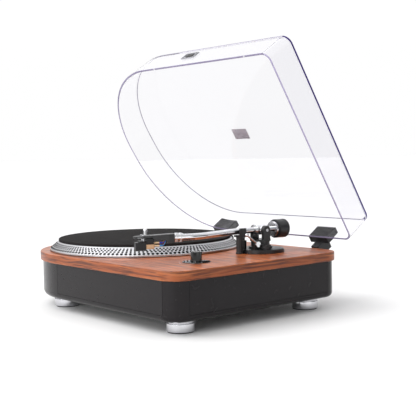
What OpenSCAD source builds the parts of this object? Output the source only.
// Belt-driven record player with an S-shaped tonearm and a hinged clear dust cover.
// Drawn about the platter's axis with Z up from the table, then moved so that the
// middle of the whole outline, cover open, is the origin.

/* [Plinth] */
// Half of the plinth's depth, and the reach of its round left end from the platter's axis
plinth_r = 172; // [166:1:178]
// Radius of the two arcs that make the plinth's round left end
left_r = 160; // [150:1:166]
// Distance from the platter's axis to the plinth's right edge
plinth_right = 291; // [285:1:300]
// Radius of the plinth's two right-hand corners
corner_r = 32; // [28:1:36]
// Thickness of the wooden top board
board_t = 14; // [12:0.5:16]
// Height of the deck above the table
deck_z = 91; // [89:0.5:94]
// How far the top board stands out past the black base
overhang = 4; // [3:0.5:6]
// Radius along the lower edge of the bottom tray
tray_round = 8; // [4:0.5:9]
// Height of each foot with its rubber pad
foot_h = 19; // [17:0.5:19]
// Radius of each foot
foot_r = 20.8; // [16:0.1:21]

/* [Platter] */
// Radius of the platter at its lower edge
platter_r = 160.5; // [158:0.5:162]
// Radius of the mat and of the top of the platter's bevel
mat_r = 146; // [140:0.5:148]
// Gap between the deck and the platter's lower edge
platter_gap = 1; // [1:0.5:3]
// Height of the platter casting
platter_h = 14; // [13:0.5:15]
// Thickness of the mat
mat_t = 4; // [2:0.5:4]
// Radius of the spindle that centres the record
spindle_r = 3.58; // [3.5:0.01:3.6]
// Radius of the ring under the platter that the belt runs on
belt_ring_r = 85; // [70:1:90]
// Radius of the motor pulley where the belt runs
pulley_r = 5.65; // [4.5:0.05:7]

/* [Tonearm] */
// Pivot's distance to the right of the platter's axis
pivot_x = 200; // [196:1:204]
// Pivot's distance behind the platter's axis
pivot_y = 79; // [75:1:83]
// Height of the pivot above the table
pivot_z = 126; // [125:0.5:128.5]
// Pivot to stylus
arm_length = 230; // [226:1:234]
// Angle between the headshell and the line from the pivot to the stylus
offset_angle = 22; // [20:0.5:24]
// Radius of the tonearm tube
tube_r = 4.8; // [4:0.1:5]
// Radius of the counterweight
weight_r = 15; // [12:0.5:15.5]

/* [Dust cover] */
// Angle that the cover stands open from closed
cover_open = 57; // [0:1:60]
// Height of the cover's walls, top panel included
cover_h = 54.5; // [54:0.5:60]
// Thickness of the clear plastic
cover_t = 3; // [2.5:0.5:4]
// Radius of the cover's two right-hand corners
cover_corner_r = 16; // [10:1:24]

/* [Hidden] */
$fn = 96;
platter_x = -60;
platter_y = -36;

tray_z = foot_h;
seam_z = 28.5;
board_z = deck_z - board_t;
base_wall = 5;
panel_t = 2.5;
panel_gap = 0.4;
tray_floor = 3;
shell_inset = overhang + base_wall;
front_panel_x = [-10, 262];
rear_panel_x = [60, 190];
socket_window_x = [78, 176];
socket_z = 50;
left_rca_x = 92;
right_rca_x = 116;
inlet_x = 160;
rca_r = 4.15;
inlet_r = 5.5;
back_y = plinth_r - overhang;

corner_x = plinth_right - corner_r;
corner_y = plinth_r - corner_r;
left_c = plinth_r - left_r;
foot_spots = [[-50, -126], [250, -127], [-50, 126], [250, 127]];
pad_t = 1.5;
foot_bolt_r = 3;
boss_r = 5;
boss_drop = 0.5;
tray_screw_r = 2;
board_screw_r = 2.5;
left_boss_angle = 140;
board_boss_angle = 105;

platter_z = deck_z + platter_gap;
platter_top = platter_z + platter_h;
web_t = 3;
web_z = platter_top - web_t;
shaft_r = 4;
mat_hole_r = 5;
shaft_z = 44;
running_gap = 0.05;
ball_r = 3;
housing_r = 12;
flange_r = 26;
flange_t = 4;
bush_r = 7;
motor_spot = [-86, 72];
motor_distance = norm(motor_spot);
motor_angle = atan2(motor_spot[1], motor_spot[0]);
motor_r = 18;
motor_shaft_r = 1.5;
belt_gap = 0.3;
belt_t = 0.8;
belt_z = platter_z + 3;
belt_w = 5.5;

m3_r = 1.5;
m3_head_r = 2.8;
m3_head = 2;
bearing_screw_r = 20;
motor_screw_r = 21;
arm_screw_r = 24;
board_spot = [150, 40];
board_size = [120, 80];
pcb_t = 1.6;
standoff_z = 30;

rest_stylus_angle = -92.2;
arm_slope = 0.65;
bend_angle = 18;
bend_r = 60;
tip_length = 63;
middle_length = (tip_length * sin(offset_angle) - bend_r * (1 - cos(bend_angle))
    - bend_r * (cos(offset_angle) - cos(bend_angle))) / sin(bend_angle);
first_length = arm_length - bend_r * (2 * sin(bend_angle) + sin(offset_angle))
    - middle_length * cos(bend_angle) - tip_length * cos(offset_angle);
arm_base_r = 38;
arm_base_t = 6;
arm_base_top = deck_z + arm_base_t;
column_r = 15;
column_top = 108;
yoke_shaft_r = 5;
yoke_z = column_top + 0.3;
yoke_t = 3;
yoke_in = 11;
yoke_out = 16;
pivot_pin_r = 1.5;
stub_r = 4;
stub_end = -56;
weight_x = [-52, -30];
dial_x = [-29.7, -25];
collar_r = 6.6;
collar_x = [0.5, 13.3];
socket_end = 9;
shell_back = 13.6;
shell_front = 72.3;
headshell_w = 18;
rest_u = 44;
rest_gap = 1.3;
shell_tilt = 2.6;
shell_low = 2.8;
shell_t = 3;
cartridge_screw_x = 45.8;
lead_start = [22.6, -3];
lead_end_x = 31.5;
pin_x = [35.5, 44];
pin_y = 3;
lead_rows = [[-6.5, 30], [-10.8, 50]];
lead_r = 0.55;
joint_step = 0.02;
joint_lap = 0.6;
lift_u = 28;
lift_angle = -25;
lift_rod_r = 2.5;
lift_top = pivot_z + lift_u * sin(arm_slope) - tube_r - 0.8;
cue_spot = [216, 53];
cue_z = 106;
skate_spot = [224.5, 67.6];
skate_shaft_r = 2;

knob_spot = [227, -77];
knob_r = 8.5;
knob_h = 14.2;
knob_plate_r = 21;
knob_plate_t = 1;
knob_shaft_r = 3;

cover_inset = 1;
cover_z = deck_z + 1.3;
bumper_t = 1;
hinge_y = 196;
hinge_z = 75;
hinge_x = [-28, 215];
hinge_pin_r = 3;
knuckle_r = 7.5;
knuckle_w = 17.2;
hinge_w = 30;
hinge_block_y = 187.5;
label_x = 85;

// ---- placing ----

module place() {
  translate([platter_x, platter_y, 0]) children();
}

module at(spot, z = 0) {
  translate([spot[0], spot[1], z]) children();
}

module polar(angle, radius, z = 0) {
  rotate(angle) translate([radius, 0, z]) children();
}

// ---- the plan shared by board, base, tray and cover: a round left end and two round corners ----

module plan(inset = 0, rc = corner_r) {
  reach = plinth_r - inset;
  cx = plinth_right - rc;
  cy = plinth_r - rc;
  translate([-left_c, -reach]) square([cx + left_c, 2 * reach]);
  translate([-reach, -left_c]) square([reach, 2 * left_c]);
  translate([0, -cy]) square([plinth_right - inset, 2 * cy]);
  for (side = [-1, 1]) {
    translate([-left_c, side * left_c]) circle(left_r - inset, $fn = 180);
    translate([cx, side * cy]) circle(rc - inset);
  }
}

// Sweeps a section round the plan: x is the distance outward from the outline, y the height.
module sweep_plan(inset = 0, rc = corner_r) {
  reach = plinth_r - inset;
  cx = plinth_right - rc;
  cy = plinth_r - rc;
  translate([-left_c, left_c, 0]) rotate(90) rotate_extrude(angle = 90, $fn = 180)
    translate([left_r - inset, 0]) children();
  translate([-left_c, -left_c, 0]) rotate(180) rotate_extrude(angle = 90, $fn = 180)
    translate([left_r - inset, 0]) children();
  translate([-reach, -left_c, 0]) rotate(180) rotate([90, 0, 0]) linear_extrude(2 * left_c) children();
  translate([-left_c, reach, 0]) rotate(90) rotate([90, 0, 0]) linear_extrude(cx + left_c) children();
  translate([cx, -reach, 0]) rotate(-90) rotate([90, 0, 0]) linear_extrude(cx + left_c) children();
  translate([plinth_right - inset, cy, 0]) rotate([90, 0, 0]) linear_extrude(2 * cy) children();
  translate([cx, cy, 0]) rotate_extrude(angle = 90) translate([rc - inset, 0]) children();
  translate([cx, -cy, 0]) rotate(-90) rotate_extrude(angle = 90) translate([rc - inset, 0]) children();
}

// Section of an edge: w wide, h high, its outer corners rounded by top_r and low_r.
module edge_section(w, h, top_r, low_r) {
  difference() {
    translate([-w, 0]) square([w, h]);
    if (top_r > 0) translate([-top_r, h - top_r]) difference() {
      square(top_r + 1);
      circle(top_r, $fn = 48);
    }
    if (low_r > 0) translate([-low_r, low_r]) difference() {
      translate([0, -low_r - 1]) square(low_r + 1);
      circle(low_r, $fn = 48);
    }
  }
}

module rounded_slab(inset, h, top_r, low_r, rc = corner_r) {
  w = max(top_r, low_r) + 2;
  linear_extrude(h) plan(inset + w - 0.5, rc);
  sweep_plan(inset, rc) edge_section(w, h, top_r, low_r);
}

// ---- fasteners ----

module m3_screw(length) {
  cylinder(r = m3_r, h = length);
  translate([0, 0, -m3_head]) cylinder(r = m3_head_r, h = m3_head);
}

module at_bearing_screws() {
  for (i = [0:2]) polar(60 + 120 * i, bearing_screw_r, board_z - flange_t) children();
}

module at_motor_screws() {
  for (side = [0, 180])
    at(motor_spot, board_z - flange_t) polar(motor_angle + 90 + side, motor_screw_r) children();
}

module at_arm_screws() {
  for (i = [0:2]) at([pivot_x, pivot_y], board_z) polar(90 + 120 * i, arm_screw_r) children();
}

module at_pcb_screws() {
  for (i = [-1, 1], j = [-1, 1])
    at(board_spot + [i * (board_size[0] / 2 - 6), j * (board_size[1] / 2 - 6)], standoff_z + pcb_t)
      children();
}

// Turns about the centre of the left end's front arc for side -1, of its rear arc for side 1.
module on_left_end(side, angle) {
  translate([-left_c, side * left_c, 0]) polar(side * angle, left_r - shell_inset - 3) children();
}

module at_tray_screws() {
  for (side = [-1, 1]) {
    on_left_end(side, left_boss_angle) children();
    at([70, side * (plinth_r - shell_inset - 3)]) children();
    at([corner_x + 15, side * (corner_y + 15)]) children();
  }
}

module at_board_screws() {
  for (side = [-1, 1]) {
    at([200, side * (plinth_r - shell_inset - 3)]) children();
    on_left_end(side, board_boss_angle) children();
  }
}

// ---- plinth ----

module top_board() {
  color("#b4684a") place() difference() {
    translate([0, 0, board_z]) rounded_slab(0, board_t, 1.5, 1.5);
    translate([0, 0, board_z - 1]) cylinder(r = housing_r, h = board_t + 2);
    at(motor_spot, board_z - 1) cylinder(r = 9, h = board_t + 2);
    at(knob_spot, board_z - 1) cylinder(r = knob_shaft_r + 1, h = board_t + 2);
    at_bearing_screws() cylinder(r = m3_r, h = flange_t + 8);
    at_motor_screws() cylinder(r = m3_r, h = flange_t + 8);
    at_arm_screws() translate([0, 0, -1]) cylinder(r = m3_r, h = board_t + 2);
    at_board_screws() translate([0, 0, board_z - 1]) cylinder(r = board_screw_r, h = 9);
  }
}

module shell_recess(x, side) {
  translate([x[0] - panel_gap, side > 0 ? plinth_r - overhang - panel_t : -plinth_r, seam_z - 1])
    cube([x[1] - x[0] + 2 * panel_gap, panel_t + overhang, board_z - seam_z + 2]);
}

module base_shell() {
  color("#2b2a2c") place() difference() {
    union() {
      translate([0, 0, seam_z]) linear_extrude(board_z - seam_z) difference() {
        plan(overhang);
        plan(shell_inset);
      }
      translate([0, 0, seam_z]) {
        at_tray_screws() cylinder(r = boss_r, h = 20);
        at_board_screws() cylinder(r = boss_r, h = board_z - seam_z - boss_drop);
      }
    }
    shell_recess(front_panel_x, -1);
    shell_recess(rear_panel_x, 1);
    translate([plinth_right - overhang - panel_t, -corner_y - panel_gap, seam_z - 1])
      cube([panel_t + overhang, 2 * (corner_y + panel_gap), board_z - seam_z + 2]);
    translate([socket_window_x[0], plinth_r - shell_inset - 1, socket_z - 11])
      cube([socket_window_x[1] - socket_window_x[0], base_wall, 22]);
    at_tray_screws() translate([0, 0, seam_z - 1]) cylinder(r = tray_screw_r, h = 13);
    at_board_screws() {
      translate([0, 0, seam_z - 1]) cylinder(r = board_screw_r, h = board_z - seam_z + 2);
      translate([0, 0, seam_z - 1]) cylinder(r = boss_r - 1, h = 5);
    }
    at_hinge_screws() cylinder(r = tray_screw_r, h = 30);
  }
}

module side_panel(x) {
  translate([x[0], 0, seam_z + panel_gap]) cube([x[1] - x[0], panel_t, board_z - seam_z - 2 * panel_gap]);
}

module front_panel() {
  color("#353436") place() translate([0, -plinth_r + overhang, 0]) side_panel(front_panel_x);
}

module right_panel() {
  color("#232223") place() translate([plinth_right - overhang, 0, 0])
    rotate(90) side_panel([-corner_y, corner_y]);
}

module rear_panel() {
  color("#29282a") place() difference() {
    translate([0, plinth_r - overhang - panel_t, 0]) side_panel(rear_panel_x);
    at_socket(left_rca_x) cylinder(r = rca_r, h = 30, center = true);
    at_socket(right_rca_x) cylinder(r = rca_r, h = 30, center = true);
    at_socket(inlet_x) cylinder(r = inlet_r, h = 30, center = true);
  }
}

module bottom_tray() {
  color("#1f1e20") place() difference() {
    union() {
      difference() {
        translate([0, 0, tray_z]) rounded_slab(overhang, seam_z - tray_z, 0, tray_round);
        translate([0, 0, tray_z + tray_floor]) linear_extrude(seam_z) plan(overhang + tray_round + 6);
      }
      at_pcb_screws() translate([0, 0, tray_z + 1 - standoff_z - pcb_t])
        cylinder(r = 3.5, h = standoff_z - tray_z - 1);
      for (spot = foot_spots) at(spot, tray_z + 1) cylinder(r = 9, h = 7);
    }
    at_tray_screws() {
      translate([0, 0, tray_z - 1]) cylinder(r = tray_screw_r, h = 12);
      translate([0, 0, tray_z - 1]) cylinder(r = 4, h = 4);
    }
    at_board_screws() translate([0, 0, tray_z - 1]) cylinder(r = 5, h = 12);
    at_pcb_screws() mirror([0, 0, 1]) cylinder(r = m3_r, h = 8);
    for (spot = foot_spots) at(spot, 0) cylinder(r = foot_bolt_r, h = 26);
  }
}

module foot(spot) {
  color("#c9cacc") place() at(spot) difference() {
    rotate_extrude() polygon([
      [0, pad_t], [foot_r - 1, pad_t], [foot_r, pad_t + 1], [foot_r, 8], [foot_r - 1.5, 9],
      [foot_r - 1.5, 11], [foot_r, 12], [foot_r, foot_h - 1], [foot_r - 1, foot_h], [0, foot_h]]);
    translate([0, 0, pad_t - 1]) cylinder(r = foot_bolt_r + 3, h = 5);
    cylinder(r = foot_bolt_r, h = foot_h + 1);
  }
}

module foot_front_left() {
  foot(foot_spots[0]);
}

module foot_front_right() {
  foot(foot_spots[1]);
}

module foot_rear_left() {
  foot(foot_spots[2]);
}

module foot_rear_right() {
  foot(foot_spots[3]);
}

module foot_pads() {
  color("#202020") place() for (spot = foot_spots) at(spot) cylinder(r = foot_r - 2, h = pad_t);
}

module foot_bolts() {
  color("#8c8c90") place() for (spot = foot_spots) at(spot) {
    translate([0, 0, pad_t + 1]) cylinder(r = 5.5, h = 3);
    translate([0, 0, pad_t + 3]) cylinder(r = foot_bolt_r, h = 20);
  }
}

module tray_screws() {
  color("#77777a") place() at_tray_screws() {
    translate([0, 0, tray_z + 1]) cylinder(r = 3.6, h = 2);
    translate([0, 0, tray_z + 2]) cylinder(r = tray_screw_r, h = 17);
  }
}

module board_screws() {
  color("#77777a") place() at_board_screws() {
    translate([0, 0, seam_z + 1]) cylinder(r = 3.8, h = 3);
    translate([0, 0, seam_z + 3]) cylinder(r = board_screw_r, h = board_z - seam_z + 4);
  }
}

module m3_screws() {
  color("#9a9a9e") place() {
    at_bearing_screws() m3_screw(flange_t + 7);
    at_motor_screws() m3_screw(flange_t + 7);
    at_arm_screws() m3_screw(board_t + 4);
    at_pcb_screws() mirror([0, 0, 1]) m3_screw(7);
  }
}

// ---- platter and drive ----

module platter() {
  color("#c8c9cb") place() difference() {
    rotate_extrude($fn = 180) polygon([
      [shaft_r, web_z - 10], [14, web_z - 10], [14, web_z], [belt_ring_r - 3, web_z],
      [belt_ring_r - 3, platter_z + 1], [belt_ring_r, platter_z + 1], [belt_ring_r, web_z],
      [platter_r - 11, web_z], [platter_r - 7, platter_z], [platter_r, platter_z],
      [platter_r, platter_z + 2.5], [mat_r + 0.5, platter_top], [shaft_r, platter_top]]);
    for (side = [0, 180]) rotate(motor_angle + side) translate([motor_distance, 0, web_z - 1])
      cylinder(r = 11, h = web_t + 2);
  }
}

module platter_mat() {
  color("#3a3a3b") place() translate([0, 0, platter_top]) difference() {
    cylinder(r = mat_r, h = mat_t, $fn = 180);
    translate([0, 0, -1]) cylinder(r = mat_hole_r, h = mat_t + 2);
  }
}

module spindle() {
  color("#d8d8da") place() {
    translate([0, 0, shaft_z + running_gap]) cylinder(r = shaft_r, h = platter_top - shaft_z - running_gap);
    translate([0, 0, platter_top - 1]) cylinder(r = spindle_r, h = mat_t + 10);
    translate([0, 0, platter_top + mat_t + 9]) sphere(spindle_r, $fn = 48);
  }
}

module bearing_housing() {
  color("#b7a36a") place() difference() {
    union() {
      translate([0, 0, shaft_z - 12]) cylinder(r = housing_r, h = deck_z - shaft_z + 11);
      translate([0, 0, board_z - flange_t]) cylinder(r = flange_r, h = flange_t);
    }
    translate([0, 0, shaft_z - 2 * ball_r]) cylinder(r = shaft_r + 0.6, h = 10);
    translate([0, 0, shaft_z + 2]) cylinder(r = bush_r, h = deck_z - shaft_z);
    at_bearing_screws() translate([0, 0, -1]) cylinder(r = m3_r, h = flange_t + 2);
  }
}

module bearing_bush() {
  color("#b08a4c") place() translate([0, 0, shaft_z + 2]) difference() {
    cylinder(r = bush_r, h = deck_z - shaft_z - 4);
    translate([0, 0, -1]) cylinder(r = shaft_r + running_gap, h = deck_z - shaft_z);
  }
}

module thrust_ball() {
  color("#dcdcdf") place() translate([0, 0, shaft_z - ball_r]) sphere(ball_r, $fn = 48);
}

module motor() {
  color("#8d8f93") place() at(motor_spot) difference() {
    union() {
      translate([0, 0, board_z - flange_t]) cylinder(r = 25, h = flange_t);
      translate([0, 0, board_z - 32]) cylinder(r = motor_r, h = 29);
      translate([0, 0, board_z - 1]) cylinder(r = 5, h = 5);
    }
    translate([0, 0, board_z - 26]) cylinder(r = motor_shaft_r + running_gap, h = 40);
    translate([-motor_spot[0], -motor_spot[1], 0]) at_motor_screws() translate([0, 0, -1])
      cylinder(r = m3_r, h = flange_t + 2);
  }
}

module motor_shaft() {
  color("#d0d0d3") place() at(motor_spot, board_z - 25)
    cylinder(r = motor_shaft_r, h = web_z - board_z + 24);
}

module motor_pulley() {
  color("#c9a24a") place() at(motor_spot) rotate_extrude() polygon([
    [motor_shaft_r, belt_z - 1.5], [pulley_r + 1.4, belt_z - 1.5], [pulley_r + 1.4, belt_z - 0.5],
    [pulley_r, belt_z - 0.5], [pulley_r, belt_z + belt_w + 0.3], [pulley_r + 1.4, belt_z + belt_w + 0.3],
    [pulley_r + 1.4, belt_z + belt_w + 1], [motor_shaft_r, belt_z + belt_w + 1]]);
}

// A band round the platter's ring and the pulley: two arcs joined by two straights.
module drive_belt() {
  big = belt_ring_r + belt_gap;
  small = pulley_r + belt_gap;
  turn = acos((big - small) / motor_distance);
  straight = motor_distance * sin(turn);
  color("#1c1c1c") place() translate([0, 0, belt_z]) rotate(motor_angle) {
    rotate(turn) rotate_extrude(angle = 360 - 2 * turn, $fn = 180)
      translate([big, 0]) square([belt_t, belt_w]);
    translate([motor_distance, 0, 0]) rotate(-turn) rotate_extrude(angle = 2 * turn)
      translate([small, 0]) square([belt_t, belt_w]);
    rotate(turn) translate([big + joint_step, -straight - joint_lap, 0])
      cube([belt_t - 2 * joint_step, straight + 2 * joint_lap, belt_w]);
    rotate(-turn) translate([big + joint_step, -joint_lap, 0])
      cube([belt_t - 2 * joint_step, straight + 2 * joint_lap, belt_w]);
  }
}

// ---- electronics ----

// Local Z points out of the back at the rear face.
module at_socket(x) {
  translate([x, back_y, socket_z]) rotate([-90, 0, 0]) children();
}

module circuit_board() {
  color("#2f6b45") place() at(board_spot, standoff_z) difference() {
    union() {
      translate([-board_size[0] / 2, -board_size[1] / 2, 0]) cube([board_size[0], board_size[1], pcb_t]);
      translate([-20, -12, 1]) cube([14, 14, 2.6]);
      translate([10, 6, 1]) cube([20, 12, 10]);
      for (i = [0:3]) translate([-44 + 12 * i, 26, 1]) cylinder(r = 4, h = 12);
      for (i = [0:2]) translate([36, -26 + 12 * i, 1]) cube([12, 8, 7]);
    }
    translate([-board_spot[0], -board_spot[1], -standoff_z]) at_pcb_screws() translate([0, 0, -pcb_t - 1])
      cylinder(r = m3_r, h = pcb_t + 2);
  }
}

module rca_socket(x) {
  place() at_socket(x) difference() {
    union() {
      translate([-6, -7, -panel_t - 12]) cube([12, 14, 12]);
      translate([0, 0, -panel_t - 1]) cylinder(r = rca_r, h = 11.5 + 1);
      cylinder(r = 6, h = 1.5);
    }
    translate([0, 0, 1]) cylinder(r = 1.6, h = 9);
  }
}

module rca_left() {
  color("#e6e6e4") rca_socket(left_rca_x);
}

module rca_right() {
  color("#b3241f") rca_socket(right_rca_x);
}

module power_inlet() {
  color("#1a1a1a") place() at_socket(inlet_x) difference() {
    union() {
      translate([-6, -7, -panel_t - 12]) cube([12, 14, 12]);
      translate([0, 0, -panel_t - 1]) cylinder(r = inlet_r, h = panel_t + 3);
    }
    translate([0, 0, -8]) cylinder(r = 2.8, h = 20);
  }
}

// ---- tonearm ----

module at_pivot(z = 0) {
  translate([pivot_x, pivot_y, z]) rotate(rest_stylus_angle) children();
}

// Local X runs along the arm from the pivot towards the stylus.
module on_arm() {
  at_pivot(pivot_z) rotate([0, -arm_slope, 0]) children();
}

module rod_x(r, x0, x1) {
  translate([x0, 0, 0]) rotate([0, 90, 0]) cylinder(r = r, h = x1 - x0);
}

// A bend of the tube from the origin heading along X, to the left for side 1 or the right for side -1.
module bend(radius, angle, side, r, fine = 96) {
  translate([0, side * radius, 0]) rotate(side > 0 ? -90 : 90 - angle)
    rotate_extrude(angle = angle) translate([radius, 0]) circle(r, $fn = fine);
}

module after_bend(radius, angle, side) {
  translate([0, side * radius, 0]) rotate(side * angle) translate([0, -side * radius, 0]) children();
}

// A straight between two bends. It laps into both, and is a hair thinner so that the joint is clean.
module straight(r, length) {
  rod_x(r - joint_step, -joint_lap, length + joint_lap);
}

// From the pivot to where the tube's last straight starts.
module at_arm_tip() {
  translate([first_length, 0, 0]) after_bend(bend_r, bend_angle, 1) translate([middle_length, 0, 0])
    after_bend(bend_r, bend_angle + offset_angle, -1) children();
}

module tonearm_base() {
  color("#232325") place() difference() {
    union() {
      at([pivot_x, pivot_y], deck_z) {
        cylinder(r = arm_base_r, h = arm_base_t - 1.5);
        cylinder(r = arm_base_r - 1.5, h = arm_base_t);
        cylinder(r = column_r, h = column_top - deck_z);
        cylinder(r = column_r + 4, h = arm_base_t + 3);
      }
      at_pivot(deck_z) polar(lift_angle, lift_u) cylinder(r = 5, h = 19);
      at(cue_spot, deck_z + 1) translate([-2.5, -5, 0]) cube([5, 10, cue_z - deck_z + 4]);
    }
    at([pivot_x, pivot_y], deck_z + 3) cylinder(r = yoke_shaft_r + running_gap, h = 30);
    at_pivot(deck_z + 3) polar(lift_angle, lift_u) cylinder(r = lift_rod_r + running_gap, h = 30);
    at(cue_spot, cue_z) rotate([0, 90, 0]) cylinder(r = 2 + running_gap, h = 20, center = true);
    at(skate_spot, deck_z + 2) cylinder(r = skate_shaft_r + running_gap, h = 20);
    at_arm_screws() translate([0, 0, board_t - 1]) cylinder(r = m3_r, h = 6);
  }
}

module yoke_side(side) {
  translate([-7, side > 0 ? yoke_in : -yoke_out, yoke_z + yoke_t - 1])
    cube([14, yoke_out - yoke_in, pivot_z - yoke_z - yoke_t + 1]);
  translate([0, side * (yoke_in + yoke_out) / 2, pivot_z]) rotate([90, 0, 0])
    cylinder(r = 7, h = yoke_out - yoke_in, center = true);
}

module tonearm_yoke() {
  color("#2a2a2c") place() at_pivot() difference() {
    union() {
      translate([0, 0, deck_z + 3.2]) cylinder(r = yoke_shaft_r, h = yoke_z - deck_z - 2);
      translate([0, 0, yoke_z]) cylinder(r = yoke_out + 0.5, h = yoke_t);
      yoke_side(-1);
      yoke_side(1);
    }
    translate([0, 0, pivot_z]) rotate([90, 0, 0]) cylinder(r = 2.5, h = 60, center = true);
  }
}

module pivot_screws() {
  color("#c4c4c6") place() at_pivot(pivot_z) for (side = [-90, 90]) rotate([side, 0, 0]) {
    translate([0, 0, 7]) cylinder(r = pivot_pin_r, h = 5);
    translate([0, 0, yoke_in - 0.8]) cylinder(r = 2.5, h = yoke_out - yoke_in + 1.6);
  }
}

module tonearm_tube() {
  color("#d5d6d8") place() on_arm() {
    difference() {
      union() {
        rod_x(8, -11, 11);
        rotate([90, 0, 0]) cylinder(r = 7, h = 19, center = true);
      }
      rotate([90, 0, 0]) cylinder(r = pivot_pin_r + running_gap, h = 60, center = true);
    }
    rod_x(stub_r, stub_end, -10);
    rod_x(tube_r - joint_step, 10, first_length + joint_lap);
    translate([first_length, 0, 0]) {
      bend(bend_r, bend_angle, 1, tube_r);
      after_bend(bend_r, bend_angle, 1) {
        straight(tube_r, middle_length);
        translate([middle_length, 0, 0]) bend(bend_r, bend_angle + offset_angle, -1, tube_r);
      }
    }
    at_arm_tip() rod_x(tube_r - joint_step, -joint_lap, socket_end);
  }
}

module lock_collar() {
  color("#cfd0d2") place() on_arm() at_arm_tip() difference() {
    union() {
      rod_x(collar_r - 0.6, collar_x[0], collar_x[1]);
      rod_x(collar_r, collar_x[0] + 2, collar_x[0] + 5);
      rod_x(collar_r, collar_x[1] - 5, collar_x[1] - 1);
    }
    rod_x(tube_r + running_gap, collar_x[0] - 1, collar_x[1] + 1);
  }
}

// Local Z rises square to the headshell's plate, from the plate's underside at its rear edge.
module on_shell_plate() {
  translate([shell_back, 0, shell_low]) rotate([0, shell_tilt, 0]) children();
}

module headshell() {
  half = headshell_w / 2;
  reach = shell_front - shell_back;
  color("#1d1d1e") place() on_arm() at_arm_tip() difference() {
    union() {
      rod_x(4.2, socket_end, 20);
      on_shell_plate() linear_extrude(shell_t) polygon([
        [0, -6.5], [10, -half], [48, -half], [reach, -half + 4],
        [reach, half - 4], [48, half], [10, half], [0, 6.5]]);
      translate([shell_back, 0, -7.2]) linear_extrude(11)
        polygon([[0, -6.5], [9, -8.8], [9, 8.8], [0, 6.5]]);
      for (side = [-1, 1]) translate([0, side * (half - 0.8) + 0.8, 0]) rotate([90, 0, 0])
        linear_extrude(1.6) polygon([
          [22, 4], [46, 3], [46, -0.5], [43, -1.2], [36, -2], [30, -2.6],
          [26, -4.2], [24, -7.2], [22, -7.2]]);
      on_shell_plate() {
        translate([50.5, half - 3, 0.6]) cube([5, 14, 1.3]);
        translate([53, half + 11, 0.6]) cylinder(r = 4, h = 1.3);
      }
    }
    at_cartridge_screws() translate([0, 0, -1]) cylinder(r = 1.3, h = shell_t + 2);
  }
}

module at_cartridge_screws() {
  on_shell_plate() for (side = [-1, 1]) translate([cartridge_screw_x, side * 5, 0]) children();
}

module cartridge_body() {
  color("#c9a67a") place() on_arm() at_arm_tip() difference() {
    union() {
      translate([44, -6.5, -8.4]) cube([11.6, 13, 8.8]);
      translate([55, -8, -5.4]) cube([10, 16, 1.8]);
      translate([43.2, -6, -15]) cube([12.2, 12, 7]);
      for (row = lead_rows, side = [-1, 1]) translate([0, side * pin_y, row[0]])
        rod_x(1.1, pin_x[0], pin_x[1]);
    }
    at_cartridge_screws() translate([0, 0, -8]) cylinder(r = 1.3, h = 8);
  }
}

module stylus_assembly() {
  color("#18181a") place() on_arm() at_arm_tip() {
    translate([55.6, -6.5, -17.4]) cube([15, 13, 11.8]);
    translate([tip_length, 0, -18.1]) cylinder(r1 = 0.08, r2 = 0.4, h = 1.2);
  }
}

module cartridge_screws() {
  color("#d2d2d4") place() on_arm() at_arm_tip() at_cartridge_screws() {
    translate([0, 0, -6]) cylinder(r = 1.3, h = shell_t + 6.2);
    translate([0, 0, shell_t]) cylinder(r = 2.1, h = 1.4);
  }
}

// A lead bends down by its row's angle, runs straight and bends back level to meet its pin's clip.
module headshell_lead(row) {
  run = [lead_end_x, row[0]] - lead_start;
  middle = (-run[1] * sin(row[1]) - run[0] * (1 - cos(row[1]))) / (1 - cos(row[1]));
  radius = (run[0] - middle * cos(row[1])) / (2 * sin(row[1]));
  translate([lead_start[0], 0, lead_start[1]]) rotate([90, 0, 0]) {
    bend(radius, row[1], -1, lead_r, 24);
    after_bend(radius, row[1], -1) {
      straight(lead_r, middle);
      translate([middle, 0, 0]) bend(radius, row[1], 1, lead_r, 24);
    }
  }
}

module headshell_leads() {
  color("#3c63c8") place() on_arm() at_arm_tip() for (row = lead_rows, side = [-1, 1])
    translate([0, side * pin_y, 0]) {
      headshell_lead(row);
      translate([0, 0, row[0]]) rod_x(1.3, lead_end_x - 0.5, pin_x[0]);
    }
}

module stub_ring(r, x) {
  place() on_arm() difference() {
    union() {
      rod_x(r, x[0] + 1, x[1] - 1);
      rod_x(r - 1, x[0], x[1]);
    }
    rod_x(stub_r + running_gap, x[0] - 1, x[1] + 1);
  }
}

module counterweight() {
  color("#2c2c2e") stub_ring(weight_r, weight_x);
}

module tracking_dial() {
  color("#c6c7c9") stub_ring(weight_r - 2.5, dial_x);
}

module arm_rest() {
  cradle_top = pivot_z + rest_u * sin(arm_slope) - tube_r - rest_gap;
  color("#1c1c1d") place() at_pivot() translate([rest_u, 0, 0]) {
    translate([0, 0, deck_z]) {
      cylinder(r = 5.8, h = 3);
      cylinder(r = 5, h = cradle_top - deck_z - 1);
    }
    translate([-6, -6, cradle_top - 3]) cube([12, 15, 3]);
    translate([-6, tube_r + rest_gap + 0.9, cradle_top - 3]) cube([12, 3, 14]);
  }
}

module cue_lever() {
  color("#c2c3c5") place() at(cue_spot, cue_z) {
    rotate([0, 90, 0]) translate([0, 0, -2.5]) cylinder(r = 2, h = 6.5);
    translate([2.8, 0, 0]) rotate([0, 90, 0]) cylinder(r = 4.5, h = 4);
    translate([4.8, 0, 0]) rotate([-35, 0, 0]) rotate([90, 0, 0]) {
      cylinder(r = 1.5, h = 28);
      translate([0, 0, 28]) sphere(2.8, $fn = 36);
    }
  }
}

module lift_bar() {
  color("#2a2a2b") place() at_pivot() {
    polar(lift_angle, lift_u, deck_z + 10) cylinder(r = lift_rod_r, h = lift_top - deck_z - 10.5);
    translate([0, 0, lift_top - 2]) rotate(-58) rotate_extrude(angle = 64)
      translate([lift_u - 1.75, 0]) square([3.5, 2]);
  }
}

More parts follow.
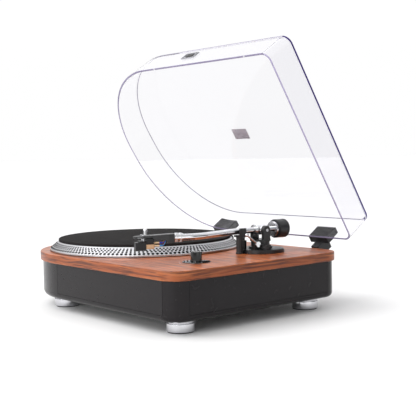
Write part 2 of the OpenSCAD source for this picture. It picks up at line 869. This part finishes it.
module anti_skate_knob() {
  color("#2b2b2d") place() at(skate_spot) {
    translate([0, 0, deck_z + 2.5]) cylinder(r = skate_shaft_r, h = arm_base_t);
    translate([0, 0, arm_base_top + 0.3]) difference() {
      cylinder(r = 7.5, h = 7);
      for (i = [0:15]) polar(22.5 * i, 8, -1) cylinder(r = 0.9, h = 7, $fn = 24);
    }
  }
}

// ---- selector ----

module selector_plate() {
  color("#1e1e1f") place() at(knob_spot, deck_z) difference() {
    union() {
      cylinder(r = knob_plate_r, h = knob_plate_t - 0.5);
      cylinder(r = knob_plate_r - 0.5, h = knob_plate_t);
    }
    translate([0, 0, -1]) cylinder(r = knob_shaft_r + 0.6, h = 5);
    for (side = [0, 180]) polar(side - 40, 14.5, 0.5) cylinder(r = 1.6, h = 3);
  }
}

module selector_knob() {
  color("#19191a") place() at(knob_spot, deck_z + knob_plate_t + 0.3) difference() {
    union() {
      cylinder(r = knob_r, h = knob_h - 0.6);
      cylinder(r = knob_r - 0.6, h = knob_h);
    }
    translate([0, 0, -1]) cylinder(r = knob_shaft_r, h = knob_h - 4);
    translate([2, -0.5, knob_h - 0.6]) cube([6, 1, 2]);
  }
}

module selector_shaft() {
  color("#bcbcc0") place() at(knob_spot, board_z - 11)
    cylinder(r = knob_shaft_r, h = board_t + 11 + knob_plate_t + knob_h - 5);
}

module selector_switch() {
  color("#6a6f78") place() at(knob_spot, board_z) difference() {
    translate([-12, -12, -13]) cube([24, 24, 13]);
    translate([0, 0, -11.2]) cylinder(r = knob_shaft_r + running_gap, h = 20);
  }
}

// ---- dust cover, drawn closed and swung open about the hinge ----

module swing_cover() {
  translate([0, hinge_y, hinge_z]) rotate([-cover_open, 0, 0])
    translate([0, -hinge_y, -hinge_z]) children();
}

module dust_cover() {
  color("#dfe3ee", 0.25) place() swing_cover() translate([0, 0, cover_z]) {
    sweep_plan(cover_inset, cover_corner_r) edge_section(cover_t, cover_h, cover_t - 0.5, 0);
    translate([0, 0, cover_h - cover_t]) linear_extrude(cover_t)
      plan(cover_inset + cover_t - 0.5, cover_corner_r);
  }
}

module cover_badge() {
  color("#8e8e92") place() swing_cover()
    translate([label_x, -plinth_r + cover_inset, cover_z + 30]) rotate([90, 0, 0]) difference() {
      translate([-16, -9, 0]) cube([32, 18, 1.2]);
      translate([-14.5, -7.5, 0.6]) cube([29, 15, 1]);
    }
}

module cover_label() {
  color("#8b8488") place() swing_cover() translate([label_x - 18, -14, cover_z + cover_h])
    cube([36, 20, 0.5]);
}

module cover_bumpers() {
  wall_y = plinth_r - cover_inset - cover_t / 2;
  color("#d9d9dc") place() swing_cover() translate([0, 0, cover_z - bumper_t]) {
    for (x = [20, 240]) translate([x, -wall_y, 0]) cylinder(r = 1.4, h = bumper_t);
    for (x = [60, 150]) translate([x, wall_y, 0]) cylinder(r = 1.4, h = bumper_t);
  }
}

// ---- hinges ----

module rod_at_hinge(x, r, w) {
  translate([x - w / 2, hinge_y, hinge_z]) rotate([0, 90, 0]) cylinder(r = r, h = w);
}

module at_hinge_screws() {
  for (x = hinge_x, side = [-1, 1])
    translate([x + side * 8, hinge_block_y, 54]) rotate([90, 0, 0]) children();
}

module hinge_base(x) {
  ear_w = (hinge_w - knuckle_w - 0.8) / 2;
  color("#1f1f20") place() difference() {
    union() {
      difference() {
        translate([x - hinge_w / 2, back_y - 10, 46]) cube([hinge_w, hinge_block_y - back_y + 10, 28]);
        linear_extrude(200) plan(overhang);
      }
      for (side = [-1, 1]) {
        rod_at_hinge(x + side * (hinge_w - ear_w) / 2, 8, ear_w);
        translate([x + side * (hinge_w - ear_w) / 2 - ear_w / 2, hinge_block_y - 8, hinge_z - 14])
          cube([ear_w, hinge_y - hinge_block_y + 8, 13]);
      }
    }
    rod_at_hinge(x, hinge_pin_r, hinge_w + 2);
    at_hinge_screws() translate([0, 0, -3]) cylinder(r = tray_screw_r, h = 40);
  }
}

module hinge_base_left() {
  hinge_base(hinge_x[0]);
}

module hinge_base_right() {
  hinge_base(hinge_x[1]);
}

module hinge_arm(x) {
  color("#262527") place() swing_cover() difference() {
    union() {
      rod_at_hinge(x, knuckle_r, knuckle_w);
      translate([x - knuckle_w / 2, 180, 79]) cube([knuckle_w, 19, 26]);
      difference() {
        translate([x - 20, 155, 93]) cube([40, 27, 28]);
        linear_extrude(300) plan(cover_inset, cover_corner_r);
      }
    }
    rod_at_hinge(x, hinge_pin_r + running_gap, hinge_w);
  }
}

module hinge_arm_left() {
  hinge_arm(hinge_x[0]);
}

module hinge_arm_right() {
  hinge_arm(hinge_x[1]);
}

module hinge_pins() {
  color("#b9b9bc") place() for (x = hinge_x) rod_at_hinge(x, hinge_pin_r, hinge_w);
}

module hinge_screws() {
  color("#77777a") place() at_hinge_screws() {
    cylinder(r = tray_screw_r, h = 27);
    translate([0, 0, -2.4]) cylinder(r = 3.8, h = 2.4);
  }
}

top_board();
base_shell();
front_panel();
right_panel();
rear_panel();
bottom_tray();
foot_front_left();
foot_front_right();
foot_rear_left();
foot_rear_right();
foot_pads();
foot_bolts();
tray_screws();
board_screws();
m3_screws();
platter();
platter_mat();
spindle();
bearing_housing();
bearing_bush();
thrust_ball();
motor();
motor_shaft();
motor_pulley();
drive_belt();
circuit_board();
rca_left();
rca_right();
power_inlet();
tonearm_base();
tonearm_yoke();
pivot_screws();
tonearm_tube();
lock_collar();
headshell();
cartridge_body();
stylus_assembly();
cartridge_screws();
headshell_leads();
counterweight();
tracking_dial();
arm_rest();
cue_lever();
lift_bar();
anti_skate_knob();
selector_plate();
selector_knob();
selector_shaft();
selector_switch();
dust_cover();
cover_badge();
cover_label();
cover_bumpers();
hinge_base_left();
hinge_base_right();
hinge_arm_left();
hinge_arm_right();
hinge_pins();
hinge_screws();
